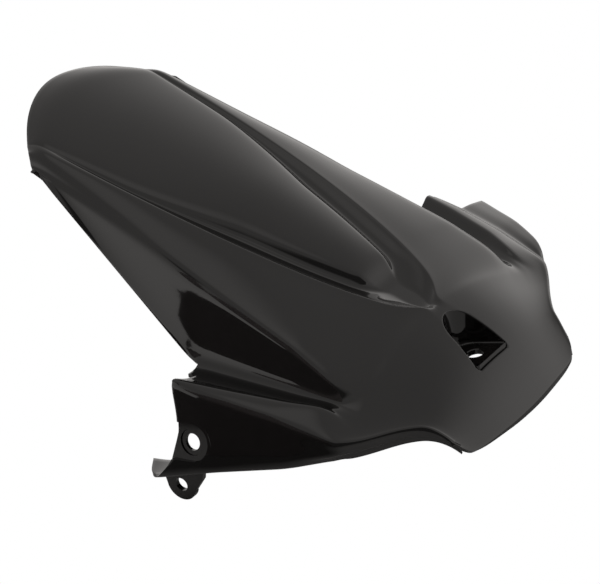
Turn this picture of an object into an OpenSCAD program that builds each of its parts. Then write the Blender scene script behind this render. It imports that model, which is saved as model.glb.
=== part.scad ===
// Rear wheel hugger, one moulded shell. The origin is the middle of the crown bolt hole, on the
// seat of its pocket. X runs forward, Y to the bike's left and Z up along that bolt.

/* [Crown] */
// Bolt axis back to the tail end of the shell
tail_reach = 330; // [310:1:350]
// Height of the crest line at the tail end
tail_rise = 181; // [170:1:192]
// How far the rounded tail end bows back from its corners
tail_bow = 70; // [60:1:80]
// Height of the dome above its crest lines
crown_rise = 9; // [4:1:14]
// Half width between the crest lines at the tail
crest_half = 69; // [60:1:76]
// Bolt axis back to the tip where both channels meet
tip_reach = 25; // [23:1:30]
// Height of the shell at that tip
tip_rise = 34; // [31:1:37]
// Depth of the channels beside the dome
channel_depth = 8; // [4:1:11]
// Width of the channels at the nose of the dome
channel_w = 20; // [16:1:24]
// Bolt axis back to the nose of the dome
nose_reach = 72; // [66:1:78]

/* [Front lip] */
// Bolt axis forward to the middle of the front edge
lip_reach = 38; // [35:1:42]
// Drop from the bolt seat to the front edge
lip_drop = 41; // [36:1:46]
// Half width of the front tongue
tongue_half = 75; // [70:1:80]
// How far the corners of the tongue sit behind its middle
tongue_bow = 7; // [3:1:12]
// Depth of the turned lip along the lower front edge
lip_h = 9.5; // [6:0.5:11]
// Rounding of the tongue's two corners
tongue_round = 9; // [6:1:12]

/* [Skirts] */
// Half width at the side crease, near the tail
crease_half = 83; // [78:1:87]
// Growth of that half width toward the front
crease_grow = 22; // [16:1:26]
// Bolt axis back to the notch behind the fins
notch_reach = 161; // [156:1:166]
// Half width of the skirts at the notch
skirt_half = 113; // [109:1:118]
// Height of the skirt edge at the notch
skirt_rise = 39; // [34:1:44]

/* [Fins and brackets] */
// Bolt axis back to the tip of the right fin
fin_reach = 142; // [136:1:146]
// Bolt axis back to the tip of the left fin
left_fin_reach = 126; // [118:1:130]
// Half width at the tips of the fins
fin_half = 150; // [145:1:154]
// Height of the fin tips
fin_rise = 42; // [38:1:46]
// Depth of the groove inside each fin
groove_depth = 11; // [8:1:13]
// Half width at the lower rear corner of the right bracket
bracket_half = 172; // [166:1:176]
// Drop from the bolt seat to that corner
bracket_drop = 29; // [24:1:34]
// Width of the flange turned in along the bottom of the right bracket
flange_w = 22; // [16:1:24]
// Bolt axis back to the rear edge of the left wing
wing_reach = 102; // [96:1:108]
// Width of the left wing at its rear edge
wing_w = 31; // [24:1:36]

/* [Fixings] */
// Bore for the crown bolt
crown_bore = 12; // [6:0.5:13]
// Width of the crown pocket at its front
pocket_w = 39; // [35:1:42]
// Length of the crown pocket
pocket_len = 33; // [30:1:35]
// Bolt axis forward to the front wall of the pocket
pocket_front = 14.5; // [13:0.5:16]
// Thickness of the bolt seats
seat_t = 4; // [3:0.5:6]
// Bore in the right bracket
side_bore = 12; // [6:0.5:13]
// Width of the round seat about that bore
side_seat = 27; // [24:1:32]
// Depth of that seat in the outer face
side_recess = 2; // [1:0.25:2.5]
// Width of the deeper ring round the bore
side_ring = 19; // [17:1:22]
// Bore in the ear under the right bracket
ear_bore = 10; // [5:0.5:11]
// Radius of the ear's round end
ear_r = 12; // [11:0.5:14]
// Drop from the flange to the ear's bore
ear_drop = 12.5; // [11:0.5:15]
// Thickness of the ear
ear_t = 4; // [3:0.5:5]

/* [Shell] */
// Wall thickness
wall = 2.6; // [2:0.1:3.2]

/* [Hidden] */
$fn = 48;

function clamp(v, lo, hi) = max(lo, min(hi, v));
function ease(v) = let (t = clamp(v, 0, 1)) t * t * (3 - 2 * t);
function mix(a, b, t) = a + (b - a) * t;
function hermite(a, ma, b, mb, t) =
    (2 * pow(t, 3) - 3 * t * t + 1) * a + (pow(t, 3) - 2 * t * t + t) * ma
    + (3 * t * t - 2 * pow(t, 3)) * b + (pow(t, 3) - t * t) * mb;

// The lines that carry the form, each as a function of x
tail_slope = 0.42;
tip_slope = 0.53;
deck_slope = 0.72;
lip_slope = 2.3;
function spine(x) =
    let (back = tail_reach - tip_reach, fore = lip_reach + tip_reach)
    x < -tip_reach
        ? hermite(tail_rise, -tail_slope * back, tip_rise, -tip_slope * back, (x + tail_reach) / back)
        : hermite(tip_rise, -deck_slope * fore, -lip_drop, -lip_slope * fore, (x + tip_reach) / fore);

// Fall of the deck away from the middle, in front of the crest lines
deck_fall = 0.002;
// Roll of the rim at the tail end
tail_roll = 4;

// The crest lines close on the tip as a slightly pointed ellipse
tip_half = 8;
function crest(x) =
    let (t = clamp((x + tail_reach - 20) / (tail_reach - 20 - tip_reach), 0, 1))
    x > -tip_reach ? tip_half + (x + tip_reach) * 0.2 : max(tip_half, crest_half * sqrt(1 - pow(t, 1.8)));

function channel(x) = lookup(x, [
    [-tail_reach, channel_w * 0.15], [-220, channel_w * 0.25], [-185, channel_w * 0.5],
    [-147, channel_w * 0.85], [-nose_reach, channel_w], [-nose_reach + 14, channel_w * 1.25],
    [-tip_reach, tip_half * 0.9]]);
function depth(x) = lookup(x, [
    [-tail_reach + 30, 0], [-255, channel_depth * 0.2], [-205, channel_depth * 0.4],
    [-147, channel_depth * 0.8], [-100, channel_depth], [-tip_reach - 12, channel_depth], [-tip_reach, 0]]);
function dome(x) = lookup(x, [
    [-tail_reach, crown_rise * 0.85], [-260, crown_rise], [-160, crown_rise],
    [-nose_reach - 20, crown_rise * 0.5], [-nose_reach, crown_rise * 0.1],
    [-nose_reach + 8, -channel_depth], [-tip_reach - 12, -channel_depth], [-tip_reach, 0]]);

function crease_y(x) = lookup(x, [
    [-tail_reach, crease_half - 4], [-285, crease_half - 2], [-265, crease_half],
    [-30, crease_half + crease_grow]]);
function crease_drop(x) = lookup(x, [[-265, 9.5], [-185, 10.5], [-150, 13], [-75, 14], [-48, 18], [-30, 23]]);

function skirt_y(x) = lookup(x, [
    [-285, crease_half + 1], [-272, crease_half + 5], [-notch_reach, skirt_half],
    [-notch_reach + 11, skirt_half + 5], [-70, skirt_half - 3], [-30, crease_half + crease_grow + 3]]);
function skirt_z(x) = lookup(x, [
    [-285, 153], [-272, 141], [-notch_reach, skirt_rise], [-notch_reach + 9, skirt_rise - 6],
    [-70, skirt_rise - 18], [-30, skirt_rise - 28]]);

function fin_y(x) = lookup(x, [
    [-fin_reach, fin_half], [-103, fin_half - 9], [-65, fin_half - 20], [-47, fin_half - 28],
    [-31, fin_half - 38]]);
function fin_z(x) = lookup(x, [
    [-fin_reach, fin_rise], [-103, fin_rise - 9], [-65, fin_rise - 19], [-47, fin_rise - 25],
    [-31, fin_rise - 31]]);
function groove_y(x) = lookup(x, [[-150, skirt_half + 15], [-65, skirt_half + 5], [-30, skirt_half - 2]]);
function groove_z(x) = lookup(x, [
    [-fin_reach, fin_rise - groove_depth], [-65, fin_rise - 14 - groove_depth], [-30, fin_rise - 32]]);

// Bend line between the lit top band and the outer face, run on as the lip's bend to the tongue corner
function bend_y(x) = lookup(x, [
    [-121, fin_half + 5], [-84, fin_half], [-49, fin_half - 6], [-26, fin_half - 11], [-19, fin_half - 18],
    [-2, fin_half - 46], [9, tongue_half + 14], [20, tongue_half + 6], [31, tongue_half]]);
function bend_z(x) = x < -26
    ? lookup(x, [
        [-fin_reach, fin_rise - 3], [-102, fin_rise - 13], [-66, fin_rise - 24], [-26, fin_rise - 41]])
    : spine(x) - lookup(x, [[-26, 34], [-12, 29], [9, 15.5], [16, 11], [24, 8], [31, 7]]);

// Lower edge of the right bracket
function edge_y(x) = lookup(x, [
    [-163, bracket_half], [-113, bracket_half - 5], [-60, bracket_half - 19], [-26, fin_half - 14],
    [-19, fin_half - 24], [-2, fin_half - 51], [9, tongue_half + 11], [20, tongue_half + 4],
    [31, tongue_half - 1]]);
function edge_z(x) = x < -26
    ? lookup(x, [
        [-163, -bracket_drop], [-113, 9 - bracket_drop], [-60, 12 - bracket_drop], [-26, 15 - bracket_drop]])
    : bend_z(x) - lookup(x, [[-26, lip_h + 4], [-12, lip_h + 2], [14, lip_h], [31, lip_h / 3]]);

// Outer edge of the left wing, a shelf that runs into the lip at the front
function wing_y(x) = lookup(x, [
    [-wing_reach, bend_y(-wing_reach) + wing_w], [-86, bend_y(-86) + wing_w * 0.9],
    [-71, bend_y(-71) + wing_w * 0.84], [-57, bend_y(-57) + wing_w * 0.73],
    [-43, bend_y(-43) + wing_w * 0.55], [-33, bend_y(-33) + wing_w * 0.29], [-26, bend_y(-26)],
    [-19, edge_y(-19)], [-2, edge_y(-2)], [9, edge_y(9)], [20, edge_y(20)], [31, edge_y(31)]]);
function wing_z(x) = x < -26
    ? bend_z(x) - lookup(x, [[-wing_reach, 9], [-57, 6], [-36, 2], [-26, 6]])
    : mix(bend_z(x) - 6, edge_z(x), ease((x + 26) / 8));

function flange(x) = lookup(x, [[-163, flange_w], [-60, flange_w * 0.8], [-30, 7], [-20, 2], [31, 1]]);

// One half section at x, as points [half width, height] from the middle out
function plain(x, f) =
    let (y = mix(crest(x), bend_y(x), f))
    [y, mix(spine(x) - deck_fall * y * y, bend_z(x), pow(f, 3))];

function carried(x) =
    let (c = [crease_y(x), spine(x) - crease_drop(x)], s = [skirt_y(x), skirt_z(x)],
         g = mix(s + (s - c) * 0.15, [groove_y(x), groove_z(x)], ease((x + notch_reach) / 12)),
         t = [fin_y(x), fin_z(x)], k = [crest(x) + 2.2, spine(x)])
    [mix(k, c, 0.35) + [0, 1.2], mix(k, c, 0.72) + [0, 1], c + [-2.5, 0.8], c + [1, -2],
     mix(c, s, 0.4) + [-1, 0], mix(c, s, 0.8) + [-1, 0], s, g, mix(g, t, 0.6) + [1, -1.5], t, t + [3, -0.6],
     mix(t, [bend_y(x), bend_z(x)], 0.6) + [0, 0.8]];
DECK = [0.22, 0.42, 0.56, 0.62, 0.67, 0.72, 0.76, 0.8, 0.84, 0.88, 0.92, 0.96];

function half_section(x, left) =
    let (k = crest(x), w = min(channel(x), k * 0.88), kd = k - w, s = spine(x), c = dome(x), d = depth(x),
         front = ease((x + 48) / 30), rows = carried(x),
         b = [bend_y(x), bend_z(x)], e = left ? [wing_y(x), wing_z(x)] : [edge_y(x), edge_z(x)],
         in = left ? min(3, flange(x)) : flange(x))
    concat(
        [[0, s + c], [kd * 0.4, s + c * (c > 0 ? 0.87 : 1)], [kd * 0.76, s + c * (c > 0 ? 0.5 : 1)],
         [kd, s + c * (c > 0 ? 0.1 : 1)], [kd + w * 0.14, s - d], [k - 1.8, s - d * 0.22],
         [k, s + d * 0.06], [k + 2.2, s - d * 0.05]],
        [for (i = [0:len(DECK) - 1]) mix(rows[i], plain(x, DECK[i]), front)],
        [b + [-1.8, 0.6], b + [0.4, -2], mix(b, e, 0.4) + [0.4, 0], mix(b, e, 0.77) + [left ? 0.6 : 1.9, 0],
         e + (left ? [0.2, 0.6] : [-0.4, 3.4]), e + [-1.2, -0.4], e + [-min(5, in * 0.5) - 1, -0.8],
         e + [-in - 1, -0.4]]);
COLS = 27; // last column index of half_section

// The stations along x
function run(a, b, n) = [for (i = [0:n - 1]) mix(a, b, i / n)];
mid_back = -240;
STATIONS = concat(
    run(-tail_reach, mid_back, 6), run(mid_back, -notch_reach - 3, 5), run(-notch_reach - 3, -fin_reach, 3),
    run(-fin_reach, -left_fin_reach, 2), run(-left_fin_reach, -wing_reach, 3),
    run(-wing_reach, -nose_reach - 7, 3), run(-nose_reach - 7, -nose_reach + 8, 3),
    run(-nose_reach + 8, -tip_reach - 12, 4), run(-tip_reach - 12, -tip_reach + 3, 4),
    run(-tip_reach + 3, 8, 4), run(8, lip_reach, 4), [lip_reach]);
ROWS = len(STATIONS) - 1;
function row_at(x) = [for (i = [0:ROWS]) if (STATIONS[i] >= x - 0.01) i][0];
TAIL_END = row_at(mid_back);
FRONT_END = row_at(8);
function tail_x(y) = -tail_reach + tail_bow * (1 - sqrt(max(0, 1 - pow(y / (crease_half + 7.5), 1.6))));
function front_x(y) =
    let (corner = clamp(1 - (tongue_half - y) / tongue_round, 0, 1))
    lip_reach - tongue_bow * pow(y / tongue_half, 2) - tongue_round * 0.75 * (1 - sqrt(1 - corner * corner));
// Set back of the right bracket's rear edge, column by column
LEAN = [for (j = [0:COLS])
    lookup(j, [[19, 0], [21, 0], [22, 5], [23, 1], [24, -14], [25, -19], [26, -27], [27, -37]])];

function station_x(i, j, left) =
    let (x = STATIONS[i], y = half_section(x, left)[j][0], xn = mid_back, xf = STATIONS[FRONT_END])
    i < TAIL_END ? xn + (x - xn) * (xn - tail_x(min(y, crease_half + 7))) / (xn + tail_reach)
    : i > FRONT_END ? xf + (x - xf) * (front_x(y) - xf) / (lip_reach - xf)
    : left ? x : x + LEAN[j] * clamp((x + 60) / (60 - fin_reach), 0, 1);
function net_point(i, j, left) =
    let (x = station_x(i, j, left), p = half_section(x, left)[j],
         roll = i > 0 || j > 10 ? 0 : tail_roll * (j > 7 ? 0.8 : 1 + 0.6 * pow(p[0] / crest_half, 4)))
    [x, (left ? 1 : -1) * p[0], p[1] - roll];

NET = [for (i = [0:ROWS]) [for (j = [-COLS:COLS]) net_point(i, abs(j), j > 0)]];

// Cubic B-spline over the net, taken at its knots
function soft(a) = let (n = len(a) - 1)
    [for (i = [0:n]) i == 0 || i == n ? a[i] : (a[i - 1] + 4 * a[i] + a[i + 1]) / 6];
function turned(g) = [for (j = [0:len(g[0]) - 1]) [for (i = [0:len(g) - 1]) g[i][j]]];
SKIN = turned([for (c = turned([for (r = NET) soft(r)])) soft(c)]);

// Where there is sheet: each column starts at a row of its own
function first_row(j) =
    let (c = abs(j), fin = row_at(-fin_reach))
    c <= 14 ? 0 : c <= 15 ? fin - 1 : j < 0 ? fin : c <= 21 ? row_at(-left_fin_reach) : row_at(-wing_reach);
function cell(i, j) =
    i >= 0 && i < ROWS && j >= -COLS && j < COLS && i >= max(first_row(j), first_row(j + 1));

function normal(i, j) =
    let (a = SKIN[min(i + 1, ROWS)][j] - SKIN[max(i - 1, 0)][j],
         b = SKIN[i][min(j + 1, 2 * COLS)] - SKIN[i][max(j - 1, 0)], n = cross(a, b))
    n / norm(n);

module sheet() {
    w = 2 * COLS + 1;
    count = (ROWS + 1) * w;
    outer = [for (i = [0:ROWS]) for (j = [0:2 * COLS]) SKIN[i][j]];
    inner = [for (i = [0:ROWS]) for (j = [0:2 * COLS]) SKIN[i][j] - wall * normal(i, j)];
    faces = [for (i = [0:ROWS - 1]) for (j = [-COLS:COLS - 1]) if (cell(i, j))
        let (a = i * w + j + COLS, b = a + 1, c = a + w + 1, d = a + w, n = count)
        each concat(
            [[a, b, c], [a, c, d], [a + n, c + n, b + n], [a + n, d + n, c + n]],
            cell(i, j - 1) ? [] : [[a, d + n, a + n], [a, d, d + n]],
            cell(i, j + 1) ? [] : [[b, c + n, c], [b, b + n, c + n]],
            cell(i - 1, j) ? [] : [[a, b + n, b], [a, a + n, b + n]],
            cell(i + 1, j) ? [] : [[d, c + n, d + n], [d, c, c + n]])];
    polyhedron(points = concat(outer, inner), faces = faces);
}

// Crown pocket, a shield shaped cup down to a flat bolt seat
// Outline from above, grown by g: straight front, sides running in to a half round rear
function shield(g) =
    let (r = pocket_w * 0.37, c = pocket_front - pocket_len + r, f = pocket_front + g, w = pocket_w / 2 + g,
         a = atan2(pocket_w / 2, pocket_front - c) + acos(r / norm([pocket_w / 2, pocket_front - c])))
    concat([[f, -w], [f, w]],
           [for (i = [0:12]) let (turn = mix(a, 360 - a, i / 12)) [c, 0] + (r + g) * [cos(turn), sin(turn)]]);

// Circle through three points of the deck's middle line, sunk to the middle of the wall
function circle_through(a, b, c) =
    let (d = 2 * (a.x * (b.y - c.y) + b.x * (c.y - a.y) + c.x * (a.y - b.y)),
         x = (a * a * (b.y - c.y) + b * b * (c.y - a.y) + c * c * (a.y - b.y)) / d,
         y = (a * a * (c.x - b.x) + b * b * (a.x - c.x) + c * c * (b.x - a.x)) / d)
    [x, y, norm(a - [x, y])];
function under_deck(x) = [x, spine(x) - wall];
DECK_ARC = circle_through(
    under_deck(pocket_front - pocket_len - wall), under_deck(0), under_deck(pocket_front + wall));

module pocket_cup() {
    intersection() {
        translate([0, 0, -seat_t])
            linear_extrude(height = tip_rise + seat_t)
                polygon(shield(wall));
        translate([DECK_ARC.x, 0, DECK_ARC.y])
            rotate([90, 0, 0])
                cylinder(r = DECK_ARC.z, h = pocket_w * 2, center = true);
    }
}
module pocket_hollow() {
    linear_extrude(height = tip_rise + 10)
        polygon(shield(0));
    translate([0, 0, -seat_t - 1])
        cylinder(d = crown_bore, h = seat_t + 2);
}

// Right bracket: a stepped seat sunk in the outer face and open to the rear edge
side_x = 14 - fin_reach;
side_f = 0.6; // place of the bore down the outer face
SIDE_TOP = [bend_y(side_x), bend_z(side_x)];
SIDE_FOOT = [edge_y(side_x), edge_z(side_x)];
SIDE = mix(SIDE_TOP, SIDE_FOOT, side_f) + [0.5, 0];
side_lean = atan2(SIDE_FOOT[0] - SIDE_TOP[0], SIDE_TOP[1] - SIDE_FOOT[1]);
module on_side() {
    translate([side_x, -SIDE[0], SIDE[1]])
        rotate([90 - side_lean, 0, 0])
            children();
}
module side_backing() {
    r = side_seat / 2 + wall;
    on_side()
        translate([0, 0, -side_recess - wall])
            linear_extrude(height = wall + side_recess - 1)
                union() {
                    circle(r = r);
                    polygon([[0, r], [-7.5, r], [-13, 0], [-19, -r], [0, -r]]);
                }
}
module side_hollow() {
    on_side() {
        translate([0, 0, -side_recess / 2])
            linear_extrude(height = 12)
                union() {
                    circle(d = side_seat);
                    translate([-side_seat - 8, -side_seat / 2])
                        square([side_seat + 8, side_seat]);
                }
        translate([0, 0, -side_recess])
            cylinder(d = side_ring, h = side_recess + 1);
        translate([0, 0, -side_recess - wall - 1])
            cylinder(d = side_bore, h = wall + side_recess + 2);
    }
}

// Ear, a plate hung from the inner edge of the flange
EAR = [-notch_reach + 7, -(bracket_half - flange_w + ear_t / 2), -bracket_drop - ear_drop];
module ear() {
    translate(EAR + [0, ear_t / 2, 0])
        rotate([90, 0, 0])
            linear_extrude(height = ear_t)
                union() {
                    circle(r = ear_r);
                    polygon([[-ear_r, 0], [-ear_r - 2, ear_drop + 1], [ear_r + 10, ear_drop + 1],
                             [ear_r + 8, ear_drop - 6], [ear_r - 1, -ear_r * 0.33], [0, 0]]);
                }
}
module ear_hole() {
    translate(EAR)
        rotate([90, 0, 0])
            cylinder(d = ear_bore, h = ear_t + 2, center = true);
}

module fender() {
    color("#17181a")
        difference() {
            union() {
                sheet();
                pocket_cup();
                side_backing();
                ear();
            }
            pocket_hollow();
            side_hollow();
            ear_hole();
        }
}

fender();
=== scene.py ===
import math

import bmesh
import bpy
import numpy as np
from mathutils import Matrix, Vector


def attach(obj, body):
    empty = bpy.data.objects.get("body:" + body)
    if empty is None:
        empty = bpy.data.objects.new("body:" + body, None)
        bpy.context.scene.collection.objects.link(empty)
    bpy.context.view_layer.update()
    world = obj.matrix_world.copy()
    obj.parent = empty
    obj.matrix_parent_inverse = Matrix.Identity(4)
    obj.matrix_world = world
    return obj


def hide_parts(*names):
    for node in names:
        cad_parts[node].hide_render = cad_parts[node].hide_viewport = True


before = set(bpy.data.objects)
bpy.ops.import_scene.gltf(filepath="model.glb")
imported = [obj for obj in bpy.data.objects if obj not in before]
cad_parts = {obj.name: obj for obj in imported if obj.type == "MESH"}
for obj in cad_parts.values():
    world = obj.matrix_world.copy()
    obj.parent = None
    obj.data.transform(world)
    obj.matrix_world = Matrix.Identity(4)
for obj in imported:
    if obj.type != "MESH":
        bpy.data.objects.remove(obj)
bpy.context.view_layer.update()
mm = 0.001
print("frame loaded")


# The shell: the same lines as the source, in mm, taken far finer so that the gloss runs clean
shell = {
    "tailReach": 330, "tailRise": 181, "tailBow": 70, "tailRoll": 4,
    "crownRise": 9, "crestHalf": 69, "tipReach": 25, "tipRise": 34, "tipHalf": 7.5,
    "channelDepth": 8, "channelWidth": 20, "noseReach": 72,
    "lipReach": 38, "lipDrop": 41, "tongueHalf": 75, "tongueBow": 7, "cornerRound": 9, "lipHeight": 9.5,
    "creaseHalf": 83, "creaseGrow": 22, "notchReach": 161, "skirtHalf": 113, "skirtRise": 39,
    "finReach": 142, "leftFinReach": 126, "finHalf": 150, "finRise": 42, "grooveDepth": 11,
    "bracketHalf": 172, "bracketDrop": 29, "flangeWidth": 22, "wingReach": 102, "wingWidth": 31,
    "wall": 2.6,
    "cell": 4.6,  # length of a mesh cell on open surface
    "fineCell": 1.0,  # and round the crown pocket
    "rimRound": 0.9,  # rounding of the outer edges
    "deckBow": 0.002,  # how fast the front deck falls away to its sides
}
deckSteps = (0.22, 0.42, 0.56, 0.62, 0.67, 0.72, 0.76, 0.8, 0.84, 0.88, 0.92, 0.96)  # front deck columns
columns = 27  # net columns on each side of the middle
midBack = -240  # station in front of the bowed tail
lipBack = 8  # station behind the bowed lip


def clamp(value, low, high):
    return max(low, min(high, value))


def ease(value):
    t = clamp(value, 0, 1)
    return t * t * (3 - 2 * t)


def mix(a, b, t):
    return a + (b - a) * t


def lookUp(x, *pairs):
    return float(np.interp(x, [p[0] for p in pairs], [p[1] for p in pairs]))


def hermite(a, slopeA, b, slopeB, t):
    return ((2 * t**3 - 3 * t * t + 1) * a + (t**3 - 2 * t * t + t) * slopeA
            + (3 * t * t - 2 * t**3) * b + (t**3 - t * t) * slopeB)


def spine(x):  # height of the middle line
    s = shell
    back, fore = s["tailReach"] - s["tipReach"], s["lipReach"] + s["tipReach"]
    if x < -s["tipReach"]:
        return hermite(s["tailRise"], -0.42 * back, s["tipRise"], -0.53 * back, (x + s["tailReach"]) / back)
    return hermite(s["tipRise"], -0.72 * fore, -s["lipDrop"], -2.3 * fore, (x + s["tipReach"]) / fore)


def crest(x):  # half width between the crest lines
    s = shell
    t = clamp((x + s["tailReach"] - 20) / (s["tailReach"] - 20 - s["tipReach"]), 0, 1)
    if x > -s["tipReach"]:
        return s["tipHalf"] + (x + s["tipReach"]) * 0.2
    pinch = 3.5 * ease((x + s["tipReach"] + 16) / 9)  # draws the lines together before they meet
    return max(s["tipHalf"], s["crestHalf"] * math.sqrt(1 - t**1.8) - pinch)


def channel(x):  # width of the channel inside each crest line
    w = shell["channelWidth"]
    return lookUp(x, (-shell["tailReach"], w * 0.15), (-220, w * 0.25), (-185, w * 0.5), (-147, w * 0.85),
                  (-shell["noseReach"], w), (14 - shell["noseReach"], w * 1.25),
                  (-shell["tipReach"], shell["tipHalf"] * 0.9))


def depth(x):  # how deep the channels run, down to nothing at the tip
    d, tip = shell["channelDepth"], shell["tipReach"]
    return lookUp(x, (30 - shell["tailReach"], 0), (-255, d * 0.2), (-205, d * 0.4), (-147, d * 0.8),
                  (-100, d), (-shell["noseReach"], d), (-tip - 9, d * 0.75), (-tip - 4, d * 0.4), (-tip, 0))


def dome(x):  # rise of the crown over the middle line, below it where the channels have met
    c, d, nose, tip = shell["crownRise"], shell["channelDepth"], shell["noseReach"], shell["tipReach"]
    return lookUp(x, (-shell["tailReach"], c * 0.85), (-260, c), (-160, c), (-nose - 20, c * 0.5),
                  (-nose, c * 0.1), (-nose + 8, -d), (-tip - 9, -d * 0.75), (-tip - 4, -d * 0.4), (-tip, 0))


def creaseAt(x):
    h = shell["creaseHalf"]
    y = lookUp(x, (-shell["tailReach"], h - 4), (-285, h - 2), (-265, h), (-30, h + shell["creaseGrow"]))
    drop = lookUp(x, (-265, 9.5), (-185, 10.5), (-150, 13), (-75, 14), (-48, 18), (-30, 23))
    return np.array((y, spine(x) - drop))


def skirtAt(x):  # foot of the skirt, which is the groove's upper lip further forward
    h, half, notch, rise = shell["creaseHalf"], shell["skirtHalf"], shell["notchReach"], shell["skirtRise"]
    y = lookUp(x, (-285, h + 1), (-272, h + 5), (-notch, half), (-notch + 11, half + 0.5), (-70, half - 3),
               (-30, h + shell["creaseGrow"] + 3))
    z = lookUp(x, (-285, 153), (-272, 141), (-notch, rise), (-notch + 9, rise - 8), (-70, rise - 21),
               (-30, rise - 29))
    return np.array((y, z))


def finAt(x):  # ridge outside the groove
    reach, half, rise = shell["finReach"], shell["finHalf"], shell["finRise"]
    y = lookUp(x, (-reach, half), (-103, half - 9), (-65, half - 20), (-47, half - 28), (-31, half - 38))
    z = rise - lookUp(x, (-reach, 0), (-103, 9), (-65, 18.5), (-47, 23.5), (-31, 28.5))
    return np.array((y, z))


def grooveAt(x):  # bottom of the groove
    half, rise, deep = shell["skirtHalf"], shell["finRise"], shell["grooveDepth"]
    y = lookUp(x, (-150, half + 15), (-65, half + 5), (-30, half - 2))
    z = lookUp(x, (-shell["finReach"], rise - deep), (-65, rise - 14 - deep), (-30, rise - 30))
    return np.array((y, z))


def bendAt(x):  # between the lit top band and the outer face, run on to the tongue corner
    half, rise, tongue = shell["finHalf"], shell["finRise"], shell["tongueHalf"]
    y = lookUp(x, (-121, half + 5), (-84, half), (-49, half - 6), (-26, half - 11), (-19, half - 18),
               (-2, half - 46), (9, tongue + 14), (20, tongue + 6), (31, tongue))
    if x < -26:
        z = lookUp(x, (-shell["finReach"], rise - 3), (-102, rise - 13), (-66, rise - 24), (-26, rise - 41))
    else:
        z = spine(x) - lookUp(x, (-26, 34), (-12, 29), (9, 15.5), (16, 11), (24, 8), (31, 7))
    return np.array((y, z))


def edgeAt(x):  # lower edge of the right bracket and of the lip
    half, fin, drop, lip = shell["bracketHalf"], shell["finHalf"], shell["bracketDrop"], shell["lipHeight"]
    y = lookUp(x, (-163, half), (-113, half - 5), (-60, half - 19), (-26, fin - 14), (-19, fin - 24),
               (-2, fin - 51), (9, shell["tongueHalf"] + 11), (20, shell["tongueHalf"] + 4),
               (31, shell["tongueHalf"] - 1))
    if x < -26:
        z = lookUp(x, (-163, -drop), (-113, 9 - drop), (-60, 12 - drop), (-26, 15 - drop))
    else:
        z = bendAt(x)[1] - lookUp(x, (-26, lip + 4), (-12, lip + 2), (14, lip), (31, lip / 3))
    return np.array((y, z))


def wingAt(x):  # outer edge of the left wing, a shelf that runs into the lip
    w = shell["wingWidth"]
    shelf = ((-shell["wingReach"], 1), (-86, 0.9), (-71, 0.84), (-57, 0.73), (-43, 0.55), (-33, 0.29),
             (-26, 0))
    pairs = [(at, bendAt(at)[0] + w * part) for at, part in shelf]
    pairs += [(at, edgeAt(at)[0]) for at in (-19, -2, 9, 20, 31)]
    if x < -26:
        z = bendAt(x)[1] - lookUp(x, (-shell["wingReach"], 9), (-57, 6), (-36, 2), (-26, 6))
    else:
        z = mix(bendAt(x)[1] - 6, edgeAt(x)[1], ease((x + 26) / 8))
    return np.array((lookUp(x, *pairs), z))


def plainRow(x, part):  # a point of the front deck, as a share of the way out to the bend
    y = mix(crest(x), bendAt(x)[0], part)
    return np.array((y, mix(spine(x) - shell["deckBow"] * y * y, bendAt(x)[1], part**3)))


def passing(points):  # moves control points out so that the spline runs through them
    made = [np.array(p, float) for p in points]
    return [made[0]] + [m - (a - 2 * m + b) / 6 for a, m, b in zip(made, made[1:], made[2:])] + [made[-1]]


def carriedRows(x):  # the side behind the deck: crease, skirt, groove and fin
    c, s, t, b = creaseAt(x), skirtAt(x), finAt(x), bendAt(x)
    g = mix(s + (s - c) * 0.15, grooveAt(x), ease((x + shell["notchReach"]) / 12))
    k = np.array((crest(x) + 2.2, spine(x)))
    return [mix(k, c, 0.35) + (0, 1.2), mix(k, c, 0.72) + (0, 1), c + (-2.5, 0.8), c + (1, -2),
            mix(c, s, 0.4) + (-1, 0), mix(c, s, 0.8) + (-1, 0), s, g, mix(g, t, 0.6) + (1, -1.5), t,
            t + (3, -0.6), mix(t, b, 0.6) + (0, 0.8)]


def halfSection(x, left):  # 28 points from the middle out to the turned edge
    k, s, c, d = crest(x), spine(x), dome(x), depth(x)
    w = min(channel(x), k * 0.88)
    inner = k - w
    front = ease((x + 48) / 30)  # the sides have run into the front deck where this is 1
    b = bendAt(x)
    e = wingAt(x) if left else edgeAt(x)
    wide = shell["flangeWidth"]
    turned = lookUp(x, (-163, wide), (-60, wide * 0.8), (-30, 7), (-20, 2), (31, 1))
    if left:
        turned = min(3, turned)
    high = c > 0
    points = [(0, s + c), (inner * 0.4, s + c * (0.87 if high else 1)),
              (inner * 0.76, s + c * (0.5 if high else 1)), (inner, s + c * (0.1 if high else 1)),
              (inner + w * 0.14, s - d), (k - 1.8, s - d * 0.22), (k, s + d * 0.06), (k + 2.2, s - d * 0.05)]
    points = [(y, z - shell["deckBow"] * y * y * front) for y, z in points]
    deck = passing([plainRow(x, part) for part in (0, *deckSteps, 1)])[1:-1]
    points += [mix(row, plain, front) for row, plain in zip(carriedRows(x), deck)]
    points += [b + (-1.8, 0.6), b + (0.4, -2), mix(b, e, 0.4) + (0.4, 0),
               mix(b, e, 0.77) + (0 if left else 1.8, 0)]
    under = ease((turned - 3) / 4)  # a wide flange turns under, a narrow edge just turns down
    slim = 0.8 if left else 0
    points += [e + (-1.1 if left else -0.7, 0.6 if left else 3.4),
               e + (mix(-0.5 - slim, -1.25, under), mix(-0.6, -0.4, under)),
               mix(e + (-0.6 - slim, -1.3), e + (-min(5, turned * 0.5) - 1, -0.8), under),
               mix(e + (-0.7 - slim, -2), e + (-turned - 1, -0.4), under)]
    return np.array(points)


def run(a, b, count):
    return [mix(a, b, i / count) for i in range(count)]


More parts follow.
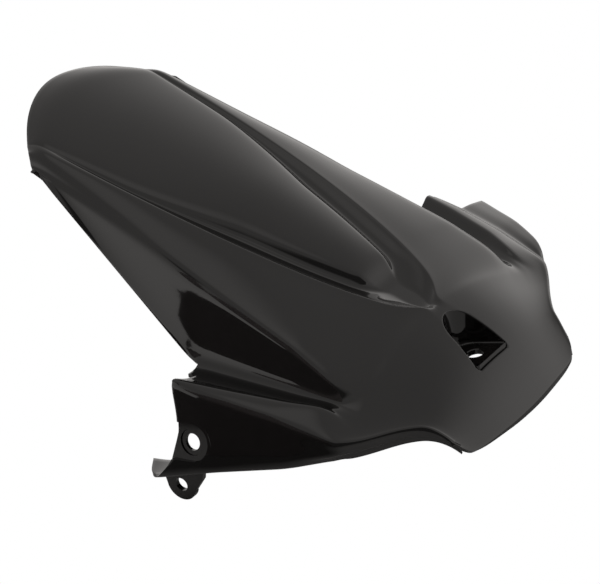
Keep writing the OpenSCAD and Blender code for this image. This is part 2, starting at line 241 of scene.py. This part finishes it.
# Stations along the part: where each run of them starts, and how many it has
s = shell
legs = ((-s["tailReach"], 6), (midBack, 5), (-s["notchReach"] - 3, 3), (-s["finReach"], 2),
        (-s["leftFinReach"], 3), (-s["wingReach"], 3), (-s["noseReach"] - 7, 3), (-s["noseReach"] + 8, 4),
        (-s["tipReach"] - 12, 4), (-s["tipReach"] + 3, 4), (lipBack, 4), (s["lipReach"], 1))
stations = [x for (start, count), (stop, _) in zip(legs, legs[1:]) for x in run(start, stop, count)]
stations.append(s["lipReach"])
rows = len(stations) - 1
leanSteps = ((19, 0), (21, 0), (22, 5), (23, 1), (24, -14), (25, -19), (26, -27), (27, -37))  # by column


def rowAt(x):
    return next(i for i, at in enumerate(stations) if at >= x - 0.01)


def stationX(i, j, left):  # the tail and the lip are bowed, and the right bracket's rear edge leans
    x, y = stations[i], halfSection(stations[i], left)[j][0]
    near = stations[rowAt(lipBack)]
    if i < rowAt(midBack):
        reach = clamp(y, 0, s["creaseHalf"] + 7) / (s["creaseHalf"] + 7.5)
        tail = -s["tailReach"] + s["tailBow"] * (1 - math.sqrt(max(0, 1 - reach**1.6)))
        return midBack + (x - midBack) * (midBack - tail) / (midBack + s["tailReach"])
    if i > rowAt(lipBack):
        corner = clamp(1 - (s["tongueHalf"] - y) / s["cornerRound"], 0, 1)
        front = (s["lipReach"] - s["tongueBow"] * (y / s["tongueHalf"])**2
                 - s["cornerRound"] * 0.75 * (1 - math.sqrt(1 - corner**2)))
        return near + (x - near) * (front - near) / (s["lipReach"] - near)
    return x if left else x + lookUp(j, *leanSteps) * clamp((x + 60) / (60 - s["finReach"]), 0, 1)


def netPoint(i, j, left):
    x = stationX(i, j, left)
    y, z = halfSection(x, left)[j]
    if i == 0 and j <= 10:
        z -= s["tailRoll"] * (0.8 if j > 7 else 1 + 0.6 * (y / s["crestHalf"])**4)
    return x, y if left else -y, z


net = np.array([[netPoint(i, abs(j), j > 0) for j in range(-columns, columns + 1)] for i in range(rows + 1)])


def weights(count, params, through):  # cubic weights of count + 1 points, carried straight on past both ends
    made = np.zeros((len(params), count + 3))
    for r, u in enumerate(params):
        i = min(int(u + 1e-9), count - 1)
        t = u - i
        if through:
            made[r, i:i + 4] = np.array((-t**3 + 2 * t * t - t, 3 * t**3 - 5 * t * t + 2,
                                         -3 * t**3 + 4 * t * t + t, t**3 - t * t)) / 2
        else:
            made[r, i:i + 4] = np.array(((1 - t)**3, 3 * t**3 - 6 * t * t + 4,
                                         -3 * t**3 + 3 * t * t + 3 * t + 1, t**3)) / 6
    made[:, 1] += 2 * made[:, 0]
    made[:, 2] -= made[:, 0]
    made[:, -2] += 2 * made[:, -1]
    made[:, -3] -= made[:, -1]
    return made[:, 1:-1]


def surface(points, us, vs, through=False):
    a, b = weights(points.shape[0] - 1, us, through), weights(points.shape[1] - 1, vs, through)
    return np.einsum("pi,ijk,qj->pqk", a, points, b)


def normals(points):
    along, across = np.gradient(points, axis=0), np.gradient(points, axis=1)
    n = np.cross(along, across)
    return n / np.linalg.norm(n, axis=2, keepdims=True)


def firstRow(j):  # the rear edge steps from column to column
    c, fin = abs(j), rowAt(-s["finReach"])
    if c <= 14:
        return 0
    if c <= 15:
        return fin - 1
    if j < 0:
        return fin
    return rowAt(-s["leftFinReach"]) if c <= 21 else rowAt(-s["wingReach"])


coarse = surface(net, range(rows + 1), range(2 * columns + 1))
under = coarse - s["wall"] * normals(coarse)
solid = np.array([[i >= max(firstRow(j), firstRow(j + 1)) for j in range(-columns, columns)]
                  for i in range(rows)])
nearPocket = slice(rowAt(-s["tipReach"] - 3), rowAt(22) + 1)
pocketColumns = 9

stepU = np.linalg.norm(np.diff(coarse, axis=0), axis=2)
stepV = np.linalg.norm(np.diff(coarse, axis=1), axis=2)
subU, subV = [], []
for i in range(rows):
    long = stepU[i][:-1][solid[i]].max() / s["cell"]
    if nearPocket.start <= i < nearPocket.stop:
        long = max(long, stepU[i, columns - pocketColumns:columns + pocketColumns + 1].max() / s["fineCell"])
    subU.append(clamp(math.ceil(long), 2, 14))
for j in range(2 * columns):
    long = stepV[:-1, j][solid[:, j]].max() / s["cell"]
    fromMiddle = abs(j + 0.5 - columns)
    if fromMiddle < pocketColumns:
        long = max(long, stepV[nearPocket, j].max() / s["fineCell"])
    onCrest = 3 <= fromMiddle < 8
    subV.append(clamp(math.ceil(long), 3 if onCrest else 2, 18))
us = [i + k / n for i, n in enumerate(subU) for k in range(n)] + [rows]
vs = [j + k / n for j, n in enumerate(subV) for k in range(n)] + [2 * columns]
outer, inner = surface(net, us, vs), surface(under, us, vs, True)
outerNormal = normals(outer)
filled = np.repeat(np.repeat(solid, subU, axis=0), subV, axis=1)
print("surfaces taken:", outer.shape)


# The crown pocket, cut into both skins
pocket = {
    "width": 39, "length": 33, "front": 14.5, "seat": 4, "bore": 12,
    "cornerRound": 2.2, "mouthRound": 0.9, "footRound": 1.3, "boreRound": 0.5, "taper": 14,
    "settle": 6.5,  # width of floor that makes room for the roundings
    "around": 45,  # the cut leaves what lies further from the bolt alone
    "snap": 0.36,  # a corner this near the cut, as a share of its edge, moves onto it
    "mouthSteps": 4, "footSteps": 3,
}
farOff = 50  # stands for well outside a cut
pocket["arc"] = pocket["width"] * 0.37
side = math.radians(pocket["taper"])
rc = pocket["cornerRound"]
cornerY = pocket["width"] / 2 - rc * (math.tan(side) + 1 / math.cos(side))
pocketHull = [(pocket["front"] - rc, -cornerY, rc), (pocket["front"] - rc, cornerY, rc),
              (pocket["front"] - pocket["length"] + pocket["arc"], 0, pocket["arc"])]


def hullDistance(points, circles):  # distance and direction out of the hull round some circles
    angles = np.linspace(0, 2 * math.pi, 721)[:-1]
    ways = np.stack((np.cos(angles), np.sin(angles)), axis=1)
    support = np.max([ways @ np.array(c[:2]) + c[2] for c in circles], axis=0)
    gaps = points[:, :2] @ ways.T - support
    best = gaps.argmax(axis=1)
    return gaps[np.arange(len(points)), best], ways[best]


class Skin:
    def __init__(self, points, faces):
        self.points = [np.array(p, float) for p in points]
        self.faces = faces

    def add(self, point):
        self.points.append(np.array(point, float))
        return len(self.points) - 1

    def split(self, distance):  # returns the faces outside, those inside, and the vertices on the line
        d = np.asarray(distance(np.array(self.points)), float)
        near = [f for f in self.faces if min(abs(d[v]) for v in f) < 4]
        snap = pocket["snap"]
        best = {}
        for f in near:
            for a, b in zip(f, f[1:] + f[:1]):
                if d[a] * d[b] < 0:
                    t = d[a] / (d[a] - d[b])
                    for v, w, part in ((a, b, t), (b, a, 1 - t)):
                        if part < snap and part < best.get(v, (1,))[0]:
                            best[v] = (part, w)
        moved = {v: mix(self.points[v], self.points[w], part) for v, (part, w) in best.items()}
        for v, point in moved.items():
            self.points[v] = point
            d[v] = 0
        d = list(d)
        cuts, outside, inside = {}, [], []
        for f in self.faces:
            signs = [d[v] for v in f]
            if min(signs) >= 0:
                outside.append(f)
                continue
            if max(signs) <= 0:
                inside.append(f)
                continue
            keep, drop = [], []
            for a, b in zip(f, f[1:] + f[:1]):
                if d[a] >= 0:
                    keep.append(a)
                if d[a] <= 0:
                    drop.append(a)
                if d[a] * d[b] < 0:
                    key = (min(a, b), max(a, b))
                    if key not in cuts:
                        cuts[key] = self.add(mix(self.points[a], self.points[b], d[a] / (d[a] - d[b])))
                        d.append(0)
                    keep.append(cuts[key])
                    drop.append(cuts[key])
            outside.append(keep)
            inside.append(drop)
        return outside, inside, {v for v, gap in enumerate(d) if gap == 0}


def skinOf(grid, turned):
    count = grid.shape[1]
    faces = []
    for p, q in zip(*np.nonzero(filled)):
        a = int(p) * count + int(q)
        face = [a, a + count, a + count + 1, a + 1]
        faces.append(face[::-1] if turned else face)
    return Skin(grid.reshape(-1, 3), faces)


def lineEdges(outside, line):  # directed edges of the outside faces along the cut line
    found = set()
    for f in outside:
        for a, b in zip(f, f[1:] + f[:1]):
            if a in line and b in line:
                if (b, a) in found:
                    found.discard((b, a))
                else:
                    found.add((a, b))
    return found


def strip(edges, rings):  # rings holds, for each vertex on the line, its vertices going down
    made = []
    for a, b in edges:
        downA, downB = rings[a], rings[b]
        for k in range(len(downA) - 1):
            made.append([downB[k], downA[k], downA[k + 1], downB[k + 1]])
    return made


def sink(skin, circles, grow, mouth, foot, floor, keepLow=False):  # drops what is inside the circles
    facing = skin.facing

    def inset(ways):  # how far the rounded mouth reaches out over the wall
        return mouth * (1 + ways @ facing[:2])

    def away(points):
        gap, way = hullDistance(points, circles)
        far = (np.abs(points[:, 0]) > pocket["around"]) | (np.abs(points[:, 1]) > pocket["around"])
        return np.where(far, farOff, gap - grow - inset(way))

    outside, inside, line = skin.split(away)
    edges = lineEdges(outside, line)
    used = sorted({v for f in inside for v in f})
    gaps, ways = hullDistance(np.array([skin.points[v] for v in used]), circles)
    swap, rings = {}, {}
    for v, gap, way in zip(used, gaps, ways):
        point = skin.points[v]
        low = min(floor, point[2]) if keepLow else floor
        if v not in line:
            behind = gap - grow - inset(way)
            shift = (inset(way) + foot) * clamp(1 + behind / pocket["settle"], 0, 1)
            skin.points[v] = np.array((*(point[:2] - way * shift), low))
            continue
        wallWay = np.array((-way[0], -way[1], 0))
        ring = [v]
        hub = point - mouth * facing
        for k in range(1, pocket["mouthSteps"] + 1) if mouth else []:
            aim = mix(facing, wallWay, k / pocket["mouthSteps"])
            ring.append(skin.add(hub + mouth * aim / np.linalg.norm(aim)))
        wall = skin.points[ring[-1]].copy()
        for k in range(pocket["footSteps"] + 1) if foot else [pocket["footSteps"]]:
            turn = math.radians(90 / pocket["footSteps"] * k)
            out = foot * (1 - math.cos(turn))
            ring.append(skin.add((wall[0] - way[0] * out, wall[1] - way[1] * out,
                                  low + foot * (1 - math.sin(turn)))))
        rings[v] = ring
        swap[v] = ring[-1]
    skin.faces = outside + strip(edges, rings)
    return [[swap.get(v, v) for v in f] for f in inside]


def bore(skin, faces, radius, rise):  # opens a round hole in a floor and returns its rim, in order
    part = Skin([], faces)
    part.points = skin.points
    outside, _, line = part.split(lambda points: np.where(
        np.abs(points[:, 2] - rise) < 0.01, np.hypot(points[:, 0], points[:, 1]) - radius, farOff))
    skin.faces += outside
    edges = dict(lineEdges(outside, line))
    start = next(iter(edges))
    rim = [start]
    while edges[rim[-1]] != start:
        rim.append(edges[rim[-1]])
    for v in rim:
        spot = skin.points[v]
        spot[:2] *= radius / math.hypot(*spot[:2])
    return rim


top, bottom = skinOf(outer, False), skinOf(inner, True)
overBolt = np.linalg.norm(outer[:, :, :2], axis=2).argmin()
top.facing = outerNormal.reshape(-1, 3)[overBolt]
bottom.facing = -top.facing
floorFaces = sink(top, pocketHull, 0, pocket["mouthRound"], pocket["footRound"], 0)
upperRim = bore(top, floorFaces, pocket["bore"] / 2 + pocket["boreRound"], 0)
floorFaces = sink(bottom, pocketHull, s["wall"], 0, 0, -pocket["seat"], True)
lowerRim = bore(bottom, floorFaces, pocket["bore"] / 2, -pocket["seat"])
print("pocket cut:", len(top.faces), len(bottom.faces))

# One list of points and faces, with the rim of the sheet between the two skins
shift = len(top.points)
points = top.points + bottom.points
faces = top.faces + [[v + shift for v in f] for f in bottom.faces]
count = outer.shape[1]
rimEdges = []
padded = np.pad(filled, 1)
for p, q in zip(*np.nonzero(filled)):
    p, q = int(p), int(q)
    a, b, c, d = p * count + q, p * count + q + 1, (p + 1) * count + q + 1, (p + 1) * count + q
    for open_, v, w in ((not padded[p + 1, q], d, a), (not padded[p + 1, q + 2], b, c),
                        (not padded[p, q + 1], a, b), (not padded[p + 2, q + 1], c, d)):
        if open_:
            faces.append([v, w, w + shift, v + shift])
            rimEdges += [(v, w), (v + shift, w + shift)]

boreRim = []  # the bore starts under its small chamfer
for v in upperRim:
    x, y, _ = points[v]
    scale = (pocket["bore"] / 2) / math.hypot(x, y)
    points.append(np.array((x * scale, y * scale, -pocket["boreRound"])))
    boreRim.append(len(points) - 1)
for k in range(len(upperRim)):
    n = (k + 1) % len(upperRim)
    faces.append([upperRim[n], upperRim[k], boreRim[k], boreRim[n]])


def zipRings(upper, lower):  # joins two rings round the same axis, whatever their counts
    def turnOf(v):
        return math.atan2(points[v][1], points[v][0]) % (2 * math.pi)

    upper, lower = sorted(upper, key=turnOf), sorted(lower, key=turnOf)
    made, i, j = [], 0, 0
    while i < len(upper) or j < len(lower):
        nextUp = turnOf(upper[i]) if i < len(upper) else 99
        nextLow = turnOf(lower[j]) if j < len(lower) else 99
        if nextUp <= nextLow:
            made.append([upper[i - 1], upper[i], lower[j - 1]])
            i += 1
        else:
            made.append([upper[i - 1], lower[j], lower[j - 1]])
            j += 1
    return made


faces += zipRings(boreRim, [v + shift for v in lowerRim])


def meshObject(name, points, faces, scale=1.0):
    mesh = bpy.data.meshes.new(name)
    mesh.from_pydata([tuple(float(c) * scale for c in p) for p in points], [], [tuple(f) for f in faces])
    mesh.validate()
    made = bpy.data.objects.new(name, mesh)
    bpy.context.scene.collection.objects.link(made)
    return made


sheet = meshObject("FenderShell", points, faces, mm)
mesh = sheet.data
weight = mesh.attributes.new("bevel_weight_edge", "FLOAT", "EDGE")
rimSet = {(min(e), max(e)) for e in rimEdges}
for edge in mesh.edges:
    if tuple(sorted(edge.vertices)) in rimSet:
        weight.data[edge.index].value = 1.0
form = bmesh.new()
form.from_mesh(mesh)
bmesh.ops.remove_doubles(form, verts=form.verts, dist=0.00002)
loose = [v for v in form.verts if not v.link_faces]
bmesh.ops.delete(form, geom=loose, context="VERTS")
print("open edges:", sum(len(e.link_faces) != 2 for e in form.edges))
form.to_mesh(mesh)
form.free()
mesh.shade_smooth()
rounding = sheet.modifiers.new("rim", "BEVEL")
rounding.limit_method = "WEIGHT"
rounding.width = s["rimRound"] * mm
rounding.segments = 2
rounding.use_clamp_overlap = True
print("shell meshed:", len(mesh.polygons))


# The right bracket's seat and its ear
bracket = {
    "seat": 27, "recess": 2, "ring": 19, "bore": 12,
    "boreIn": 14, "boreDown": 0.6,  # from the fin's rear end, and as a share of the outer face
    "earRadius": 12, "earDrop": 12.5, "earThick": 4, "earBore": 10, "earIn": 7,
    "sharp": 38,  # edges over this angle stay sharp
}


def prism(name, outline, low, high, place):  # a closed outline in the plane, drawn out from low to high
    form = bmesh.new()
    lower, upper = ([form.verts.new((*p, level)) for p in outline] for level in (low, high))
    form.faces.new(lower[::-1])
    form.faces.new(upper)
    for k in range(len(outline)):
        n = (k + 1) % len(outline)
        form.faces.new((lower[k], lower[n], upper[n], upper[k]))
    mesh = bpy.data.meshes.new(name)
    form.to_mesh(mesh)
    form.free()
    mesh.transform(place)
    mesh.transform(Matrix.Scale(mm, 4))
    made = bpy.data.objects.new(name, mesh)
    bpy.context.scene.collection.objects.link(made)
    return made


def arcPoints(x, y, radius, start, stop, count):
    return [(x + radius * math.cos(math.radians(mix(start, stop, k / count))),
             y + radius * math.sin(math.radians(mix(start, stop, k / count)))) for k in range(count + 1)]


sideX = bracket["boreIn"] - s["finReach"]
sideTop, sideFoot = bendAt(sideX), edgeAt(sideX)
sideSpot = mix(sideTop, sideFoot, bracket["boreDown"]) + (0.5, 0)
sideLean = math.atan2(sideFoot[0] - sideTop[0], sideTop[1] - sideFoot[1])
onSide = (Matrix.Translation((sideX, -sideSpot[0], sideSpot[1]))
          @ Matrix.Rotation(math.pi / 2 - sideLean, 4, "X"))
earSpot = (-s["notchReach"] + bracket["earIn"],
           -(s["bracketHalf"] - s["flangeWidth"] + bracket["earThick"] / 2),
           -s["bracketDrop"] - bracket["earDrop"])
onEar = Matrix.Translation(earSpot) @ Matrix.Rotation(math.pi / 2, 4, "X")

seatHalf, recess, earThick = bracket["seat"] / 2, bracket["recess"], bracket["earThick"]
backHalf = seatHalf + s["wall"]
backOutline = arcPoints(0, 0, backHalf, -90, 90, 24) + [(-7.5, backHalf), (-13, 0), (-19, -backHalf)]
backing = prism("backing", backOutline, -recess - s["wall"], -1, onSide)
radius, drop = bracket["earRadius"], bracket["earDrop"]
earOutline = [(radius - 1, -radius * 0.33), (radius + 8, drop - 6), (radius + 10, drop + 1),
              (-radius - 2, drop + 1), (-radius, 0)] + arcPoints(0, 0, radius, 190, 338, 24)
ear = prism("ear", earOutline, -earThick / 2, earThick / 2, onEar)
pastEdge = -seatHalf - 26  # the seat runs out over the bracket's rear edge
seatOutline = arcPoints(0, 0, seatHalf, -90, 90, 32) + [(pastEdge, seatHalf), (pastEdge, -seatHalf)]
seatCut = prism("seatCut", seatOutline, -recess / 2, 12, onSide)
ringOutline = arcPoints(0, 0, bracket["ring"] / 2, 0, 360, 64)[:-1]
seatRing = prism("seatRing", ringOutline, -recess, 2, onSide)
boreOutline = arcPoints(0, 0, bracket["bore"] / 2, 0, 360, 48)[:-1]
seatBore = prism("seatBore", boreOutline, -recess - s["wall"] - 1, 2, onSide)
earBoreOutline = arcPoints(0, 0, bracket["earBore"] / 2, 0, 360, 48)[:-1]
earBore = prism("earBore", earBoreOutline, -earThick, earThick, onEar)


def combine(target, other, how):
    step = target.modifiers.new(how, "BOOLEAN")
    step.operation = how
    step.solver = "EXACT"
    step.object = other


def settle(target):  # applies the modifiers as a plain mesh
    graph = bpy.context.evaluated_depsgraph_get()
    plain = bpy.data.meshes.new_from_object(target.evaluated_get(graph))
    target.modifiers.clear()
    target.data = plain


for other, how in ((backing, "UNION"), (ear, "UNION"), (seatCut, "DIFFERENCE"), (seatRing, "DIFFERENCE"),
                   (seatBore, "DIFFERENCE"), (earBore, "DIFFERENCE")):
    combine(sheet, other, how)
settle(sheet)
for other in (backing, ear, seatCut, seatRing, seatBore, earBore):
    bpy.data.objects.remove(other)
sheet.data.shade_smooth()
sheet.data.set_sharp_from_angle(angle=math.radians(bracket["sharp"]))
print("bracket joined:", len(sheet.data.polygons), "triangles",
      sum(len(p.vertices) - 2 for p in sheet.data.polygons))


# Gloss black plastic
class Sock:  # an output socket that can stand in a sum
    def __init__(self, maker, socket):
        self.maker = maker
        self.socket = socket

    def math(self, operation, *others):
        return self.maker.node("ShaderNodeMath", {"operation": operation},
                               {0: self, **dict(enumerate(others, 1))})

    def __add__(self, other):
        return self.math("ADD", other)

    def __mul__(self, other):
        return self.math("MULTIPLY", other)

    def __truediv__(self, other):
        return self.math("DIVIDE", other)

    def __rsub__(self, other):
        return self.maker.node("ShaderNodeMath", {"operation": "SUBTRACT"}, {0: other, 1: self})

    __radd__ = __add__
    __rmul__ = __mul__


class Maker:
    def __init__(self, tree):
        self.tree = tree

    def node(self, kind, settings=None, inputs=None, output=0):
        made = self.tree.nodes.new(kind)
        for name, value in (settings or {}).items():
            setattr(made, name, value)
        for name, value in (inputs or {}).items():
            if isinstance(value, Sock):
                self.tree.links.new(value.socket, made.inputs[name])
            else:
                made.inputs[name].default_value = value
        return Sock(self, made.outputs[output]) if made.outputs else made

    def noise(self, vector, scale, detail):
        return self.node("ShaderNodeTexNoise", {}, {"Vector": vector, "Scale": scale, "Detail": detail})

    def remap(self, value, fromMin, fromMax, toMin=0.0, toMax=1.0, kind="LINEAR"):
        return self.node("ShaderNodeMapRange", {"interpolation_type": kind}, {
            "Value": value, "From Min": fromMin, "From Max": fromMax, "To Min": toMin, "To Max": toMax})

    def colour(self, red, green, blue):
        return self.node("ShaderNodeCombineColor", {}, {"Red": red, "Green": green, "Blue": blue})


def startMaterial(name):
    material = bpy.data.materials.new(name)
    material.use_nodes = True
    material.node_tree.nodes.clear()
    return material, Maker(material.node_tree)


plastic = {
    "black": 0.0035, "cloudTone": 0.0015, "dustTone": 0.02,
    "gloss": 0.035, "cloudRough": 0.03, "scratchRough": 0.08, "dustRough": 0.2,
    "underRough": 0.3,  # the underside stays duller, as it comes from the mould
    "cloudScale": 22.0, "peelScale": 420.0, "peel": 0.12, "peelDepth": 0.00002,
}

glossy, make = startMaterial("GlossBlackPlastic")
spotOn = make.node("ShaderNodeTexCoord", output="Object")
cloud = make.noise(spotOn, plastic["cloudScale"], 4.0)
normal = make.node("ShaderNodeNewGeometry", output="Normal")
facingUp = make.node("ShaderNodeSeparateXYZ", {}, {"Vector": normal}, "Z")
below = make.remap(facingUp, -0.35, -0.6)
level = make.remap(facingUp, 0.5, 0.95)
speck = make.remap(make.noise(spotOn, 1400.0, 3.0), 0.66, 0.78)
patch = make.remap(make.noise(spotOn, 9.0, 2.0), 0.4, 0.7)
dust = speck * patch * level  # a few settled specks
drawn = make.node("ShaderNodeMapping", {}, {
    "Vector": spotOn, "Rotation": (0.2, 0.5, 0.4), "Scale": (6, 240, 240)})
hair = make.remap(make.noise(drawn, 5.0, 2.0), 0.7, 0.74)
scratch = hair * make.remap(cloud, 0.5, 0.65)  # fine wiping scratches, here and there
tone = dust * plastic["dustTone"] + cloud * plastic["cloudTone"] + plastic["black"]
rough = (cloud * plastic["cloudRough"] + plastic["gloss"] + scratch * plastic["scratchRough"]
         + dust * plastic["dustRough"] + below * plastic["underRough"])
peel = make.noise(spotOn, plastic["peelScale"], 1.0)
bump = make.node("ShaderNodeBump", {}, {
    "Strength": plastic["peel"], "Distance": plastic["peelDepth"], "Height": peel})
shade = make.node("ShaderNodeBsdfPrincipled", {}, {
    "Base Color": make.colour(tone * 1.1, tone, tone * 0.97), "Roughness": rough, "IOR": 1.5, "Normal": bump})
make.node("ShaderNodeOutputMaterial", {}, {"Surface": shade})
sheet.data.materials.clear()
sheet.data.materials.append(glossy)

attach(sheet, "root")
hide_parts("fender")
print("material made")


# Floor, light and camera
studio = {
    "floorDrop": 0.0542, "reach": 8.0,
    "paper": 0.82, "paintedShadow": 0.7,  # tone of the floor, and how much of it a painted shadow beside the bracket takes away
    "paintedShadowX": (-0.34, -0.27), "paintedShadowY": (-0.15, -0.25),
    "ceiling": 0.6, "backdrop": 1.25,  # light from above, and from near the level
    "lamp": 0.3, "lampWay": (10, 84), "lampSpread": 10, "lampSoft": 8,
    "room": 0.13, "roomAzimuth": -52, "roomSpread": 48,  # the dark room that the camera stands in
    "roomTop": (0.68, 0.83),
    "warmth": (0.03, 0.055),  # what the light lacks in green and in blue
    "flagAt": -0.63,  # a black flag beside the part, seen only in reflections, where it paints a dark reflection into the gloss; along this Y, with these corners in X and Z
    "flag": ((-0.6, -0.054), (-0.6, 0.157), (-0.415, 0.157), (-0.385, 0.18), (-0.3, 0.185), (-0.27, 0.25),
             (-0.34, 0.29), (-0.34, 0.36), (-0.05, 1.05), (0.1, 0.6), (0.1, -0.054)),
    "paintedFlagTones": (0.1, 0.3), "paintedFlagFade": (0.2, 0.3),  # its tones, lighter higher up as painted light in its reflection, and the heights between which they change
}


def cosine(degrees):
    return math.cos(math.radians(degrees))


def compass(azimuth, elevation):  # a way out from the origin, azimuth from +X toward +Y
    a, e = math.radians(azimuth), math.radians(elevation)
    return (math.cos(a) * math.cos(e), math.sin(a) * math.cos(e), math.sin(e))


reach = studio["reach"]
floor = meshObject("Floor", [(-reach, -reach, 0), (reach, -reach, 0), (reach, reach, 0), (-reach, reach, 0)],
                   [(0, 1, 2, 3)])
floor.data.transform(Matrix.Translation((0, 0, -studio["floorDrop"])))
paper, make = startMaterial("StudioPaper")
ray = make.node("ShaderNodeLightPath", output="Is Camera Ray")
spotOn = make.node("ShaderNodeTexCoord", output="Object")
fleck = make.noise(spotOn, 300.0, 3.0)
# painted shadow: the floor is darkened beside the bracket, so that the bracket's gloss reflects it dark
along = make.remap(make.node("ShaderNodeSeparateXYZ", {}, {"Vector": spotOn}, "X"), *studio["paintedShadowX"])
aside = make.remap(make.node("ShaderNodeSeparateXYZ", {}, {"Vector": spotOn}, "Y"), *studio["paintedShadowY"])
tone = studio["paper"] - along * aside * studio["paintedShadow"]
matte = make.node("ShaderNodeBsdfPrincipled", {}, {
    "Base Color": make.colour(tone, tone, tone), "Roughness": fleck * 0.1 + 0.85})
white = make.node("ShaderNodeEmission", {}, {"Color": (1, 1, 1, 1), "Strength": 1.0})
both = make.node("ShaderNodeMixShader", {}, {0: ray, 1: matte, 2: white})
make.node("ShaderNodeOutputMaterial", {}, {"Surface": both})
floor.data.materials.append(paper)

# a dark sheet hidden from the camera, which paints a dark reflection into the gloss
flag = meshObject("Flag", [(x, studio["flagAt"], z) for x, z in studio["flag"]], [range(len(studio["flag"]))])
flagShade, make = startMaterial("FlagPaintedShade")
spotOn = make.node("ShaderNodeTexCoord", output="Object")
nap = make.noise(spotOn, 120.0, 2.0)
rise = make.node("ShaderNodeSeparateXYZ", {}, {"Vector": spotOn}, "Z")
# painted light: the flag grows lighter higher up, so its reflection in the gloss brightens upward
tone = nap * 0.06 + make.remap(rise, *studio["paintedFlagFade"], *studio["paintedFlagTones"])
shade = make.node("ShaderNodeBsdfPrincipled", {}, {
    "Base Color": make.colour(tone * 1.1, tone, tone), "Roughness": 0.95})
make.node("ShaderNodeOutputMaterial", {}, {"Surface": shade})
flag.data.materials.append(flagShade)
flag.visible_camera = False

world = bpy.data.worlds.new("Studio")
bpy.context.scene.world = world
world.use_nodes = True
world.node_tree.nodes.clear()
make = Maker(world.node_tree)
ray = make.node("ShaderNodeLightPath", output="Is Camera Ray")
way = make.node("ShaderNodeTexCoord", output="Generated")


def toward(direction):  # cosine of the angle between the ray and a direction
    return make.node("ShaderNodeVectorMath", {"operation": "DOT_PRODUCT"}, {0: way, 1: direction}, "Value")


def fade(value, start, stop, first=0.0, last=1.0):
    return make.remap(value, start, stop, first, last, "SMOOTHSTEP")


height = toward((0, 0, 1))
lamp = fade(toward(compass(*studio["lampWay"])), cosine(studio["lampSpread"] + studio["lampSoft"]),
            cosine(studio["lampSpread"] - studio["lampSoft"]))
light = fade(height, 0.1, 0.8, studio["backdrop"], studio["ceiling"]) + lamp * studio["lamp"]
flat = (1.0001 - height * height).math("SQRT")
wedge = fade(toward(compass(studio["roomAzimuth"], 0)) / flat, cosine(studio["roomSpread"] + 1),
             cosine(studio["roomSpread"] - 1))
room = wedge * fade(height, *studio["roomTop"], 1.0, 0.0)
light = light * (1 - room) + room * studio["room"]
unseen = 1 - ray  # the camera itself sees plain white
lackGreen, lackBlue = studio["warmth"]
warm = make.colour(1.0, 1 - unseen * lackGreen, 1 - unseen * lackBlue)
sky = make.node("ShaderNodeBackground", {}, {"Color": warm, "Strength": light * unseen + ray})
make.node("ShaderNodeOutputWorld", {}, {"Surface": sky})


view = {
    "azimuth": 39.5, "elevation": 24.8, "roll": -12,
    "distance": 2.3655, "across": 0.1207, "up": -0.0421, "lens": 205.8, "sensor": 36,
}
camera = bpy.data.cameras.new("Camera")
eye = bpy.data.objects.new("Camera", camera)
bpy.context.scene.collection.objects.link(eye)
bpy.context.scene.camera = eye
a, e, roll = (math.radians(view[k]) for k in ("azimuth", "elevation", "roll"))
back = Vector((math.sin(a) * math.cos(e), -math.cos(a) * math.cos(e), math.sin(e)))
right = Vector((math.cos(a), math.sin(a), 0))
upward = back.cross(right)
right, upward = (right * math.cos(roll) + upward * math.sin(roll),
                 upward * math.cos(roll) - right * math.sin(roll))
camera.sensor_width = view["sensor"]
camera.lens = view["lens"]
camera.clip_start, camera.clip_end = 0.05, 50
turn = Matrix((right, upward, back)).transposed().to_4x4()
shift = back * view["distance"] - right * view["across"] - upward * view["up"]
eye.matrix_world = Matrix.Translation(shift) @ turn
bpy.context.scene.view_settings.view_transform = "Standard"
print("studio set")
